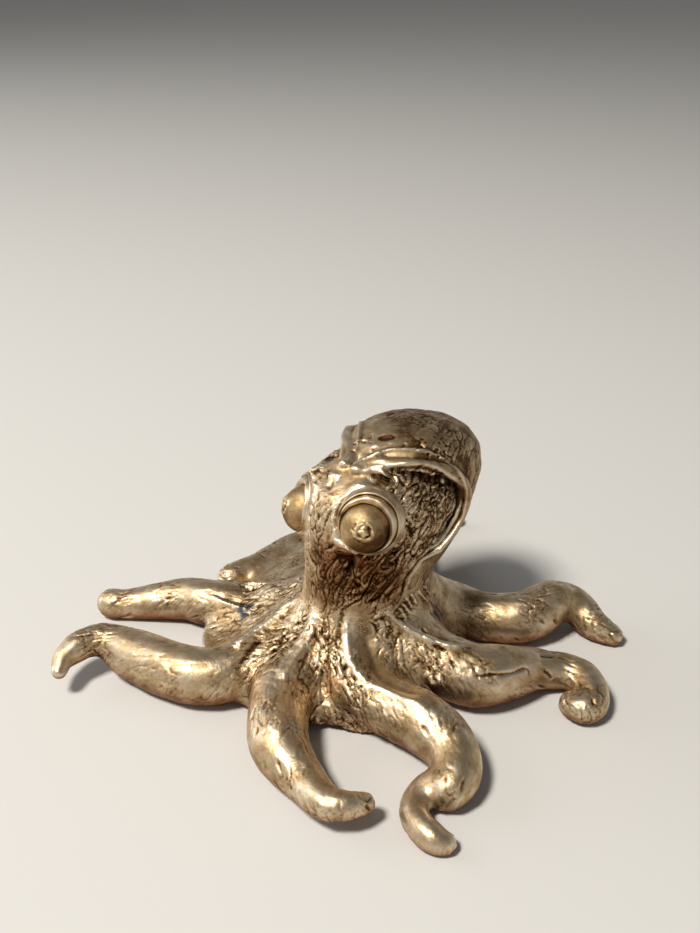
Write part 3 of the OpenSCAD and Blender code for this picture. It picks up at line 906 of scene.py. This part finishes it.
zones = [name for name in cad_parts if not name.endswith(("eyeball", "eyelid"))]
voters = np.arange(skin.count)[::VOTE_EVERY]
distance = np.full((len(voters), len(zones)), TOO_FAR)
for column, name in enumerate(zones):
    low, high = (np.array(corner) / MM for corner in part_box(name))
    near = ((P[voters] > low - BOX_MARGIN) & (P[voters] < high + BOX_MARGIN)).all(1)
    points, faces = triangles([name])
    surface = BVHTree.FromPolygons(points.tolist(), faces.tolist())
    for i in np.flatnonzero(near):
        distance[i, column] = surface.find_nearest(P[voters[i]])[3]
votes = np.zeros((skin.count, len(zones)))
votes[voters, distance.argmin(1)] = 1
votes = skin.spread(votes, VOTE_REACH)
zone = votes[QUADS].sum(1).argmax(1)

for column, name in enumerate(zones):
    chosen = QUADS[zone == column]
    used = np.unique(chosen)
    number = np.full(skin.count, -1)
    number[used] = np.arange(len(used))
    points, faces = [*P[used]], number[chosen].tolist()
    for loop in loops(chosen):
        middle = len(points)
        points.append(P[loop].mean(0))
        faces += [(number[v], number[u], middle) for u, v in zip(loop, loop[1:] + loop[:1])]
    inside = len(points) - len(used)
    marks = {label: values[used] for label, values in MARKS.items()}
    shading = np.concatenate([normal[used], np.tile((0.0, 0.0, 1.0), (inside, 1))])
    brass_piece(name, np.array(points), faces, marks, shading)

# Eyeballs: domed buttons with a small coil in their middle and two lines round the waist,
# pressed from wax and cast with the body. Their brass is thumbed, so it is browner and
# duller than the rest.
BRASS["worn_brass"] = cast_brass("thumbed_cast_brass", "#d2bb96", "#a2855d", "#5f4226", 0.5)
SIDES = 144
EYE_RADIUS = 5.15
EYE_RISE = 4.9
WAIST = 2.3
DOME_TILTS = np.radians(np.linspace(90, 1, 44))
BUTTON = [(4.6, 0.1), (5.0, 0.9), (5.12, 1.6)]
BUTTON += [(EYE_RADIUS * math.sin(t), WAIST + EYE_RISE * math.cos(t)) for t in DOME_TILTS]
COIL_RADIUS = 1.7
COIL_WIDTH = 0.3
COIL_HEIGHT = 0.2
COIL_GROOVE = 0.24
WAIST_LINES = (2.6, 3.3)
WAIST_LINE_WIDTH = 0.12
WAIST_LINE_DEPTH = 0.12

spin = np.linspace(0, 2 * math.pi, SIDES, endpoint=False)
circle = np.stack([np.cos(spin), np.sin(spin)], 1)


def ring(points, height):
    """A ring of an eye's frame, from its points seen along the axis and its height."""
    return np.concatenate([points, np.full((SIDES, 1), height)], 1)


def placed(rings, axes, origin):
    """Points of an eye's frame, as they lie in the casting."""
    return rings.reshape(-1, 3) @ axes + origin


def walls(count):
    """Faces between so many rings, each joined to the next."""
    faces = []
    for below in range(0, (count - 1) * SIDES, SIDES):
        above = below + SIDES
        for i in range(SIDES):
            j = (i + 1) % SIDES
            faces.append((below + i, below + j, above + j, above + i))
    return faces


for which, (side, centre) in EYES.items():
    axes, origin = eye_frame(side, centre)
    rings = np.array([ring(circle * r, height) for r, height in BUTTON])
    r = np.hypot(rings[..., 0], rings[..., 1])
    turn = np.arctan2(rings[..., 1], rings[..., 0])
    out = unit(rings - (0, 0, WAIST))
    spots = placed(rings, axes, origin)
    dents = noise(spots / 2.6).reshape(r.shape)
    squiggle = noise(spots / 0.8 + 4).reshape(r.shape)
    coil = COIL_RADIUS + 0.35 * np.sin(turn) + 0.9 * dents
    rise = COIL_HEIGHT * bell(r - coil, COIL_WIDTH) - COIL_GROOVE * bell(r - coil + 0.6, 0.25)
    rise += 0.25 * bell(r, 1.1) + 0.5 * squiggle * smoothstep(2.8, 1.5, r)
    rise += 0.1 * dents * smoothstep(4.8, 4.0, r)
    rise = rise * (rings[..., 2] > WAIST)
    lines = sum(bell(rings[..., 2] - height, WAIST_LINE_WIDTH) for height in WAIST_LINES)
    rise -= WAIST_LINE_DEPTH * lines
    rings = rings + out * rise[..., None]
    # Patina in the coil's groove and the waist lines; the lower, rear side of the dome is darker as
    # painted shade, and the dome is darker down by the waist.
    dark = 0.38 - 0.9 * rise + 0.3 * lines + 0.45 * smoothstep(3.0, 2.4, rings[..., 2])
    dark += 0.2 * smoothstep(-1.5, 3.5, rings[..., 0] + side * 0.6 * rings[..., 1])
    points = placed(rings, axes, origin)
    faces = walls(len(rings))
    top, bottom = len(points), len(points) + 1
    last = len(points) - SIDES
    points = np.concatenate([points, points[-SIDES:].mean(0)[None], points[:SIDES].mean(0)[None]])
    faces += [(last + i, last + (i + 1) % SIDES, top) for i in range(SIDES)]
    faces += [((i + 1) % SIDES, i, bottom) for i in range(SIDES)]
    dark = np.clip(np.append(dark.ravel(), (0.3, 0.5)), 0, 1)
    marks = {"patina_and_shade": dark, "rough": 0 * dark + 0.1}
    brass_piece(which + "_eyeball", points, faces, marks, slot="worn_brass")

# Eyelids: round collars that the eyes stand in, rolled from wax and cast with the body. They
# are set off centre, up and back, so they are wide above the eye and thin below it.
HOLE_RADIUS = 4.95
# Rings from the hole out to the rim: share of the way, and height over the seat.
COLLAR = [
    (0.0, 0.2), (0.0, 1.6), (0.0, 2.8), (0.0, 3.35), (0.03, 3.6), (0.08, 3.85), (0.15, 4.1),
    (0.24, 4.35), (0.32, 4.5), (0.4, 4.58), (0.48, 4.55), (0.56, 4.4), (0.63, 4.14),
    (0.69, 3.84), (0.73, 3.68), (0.76, 3.64), (0.79, 3.72), (0.83, 3.9), (0.88, 4.0),
    (0.93, 3.92), (0.97, 3.7), (1.0, 3.4),
]
# Rings from the rim down to the seat: mm past the rim, and height over the seat.
SKIRT = [(0.16, 3.05), (0.34, 2.6), (0.5, 2.0), (0.6, 1.3), (0.6, 0.2)]
COLLAR_FOOT = 0.2
COLLAR_MIDDLE = 2.7
GROOVE_AT = 0.75
for which, (side, centre) in EYES.items():
    axes, origin = eye_frame(side, centre)
    inner = circle * HOLE_RADIUS
    outer = circle * LID_RADIUS + (LID_UP, side * LID_BACK)
    rings = [ring(inner * (1 - share) + outer * share, height) for share, height in COLLAR]
    rings += [ring(outer + circle * past, height) for past, height in SKIRT]
    rings = np.array(rings)
    wide = smoothstep(0.3, 2.2, np.linalg.norm(outer - inner, axis=1))
    rings[..., 2] = COLLAR_MIDDLE + (rings[..., 2] - COLLAR_MIDDLE) * (0.35 + 0.55 * wide)
    rings[0, :, 2] = rings[-1, :, 2] = COLLAR_FOOT
    dents = noise(placed(rings, axes, origin) / 2.2 + 2).reshape(rings.shape[:2])
    rings[2:-2, :, 2] += 0.25 * dents[2:-2]
    points = placed(rings, axes, origin)
    last = len(points) - SIDES
    faces = walls(len(rings))
    faces += [(last + i, last + (i + 1) % SIDES, (i + 1) % SIDES, i) for i in range(SIDES)]
    faces = [face[::-1] for face in faces]
    share = np.array([share for share, height in COLLAR] + [1 + past for past, height in SKIRT])
    dark = 0.34 + 0.5 * bell(share, 0.07) + 0.4 * bell(share - GROOVE_AT, 0.05)
    dark = np.clip(dark[:, None] - 0.3 * dents, 0, 1).ravel()
    brass_piece(which + "_eyelid", points, faces, {"patina_and_shade": dark, "rough": 0 * dark + 0.1})
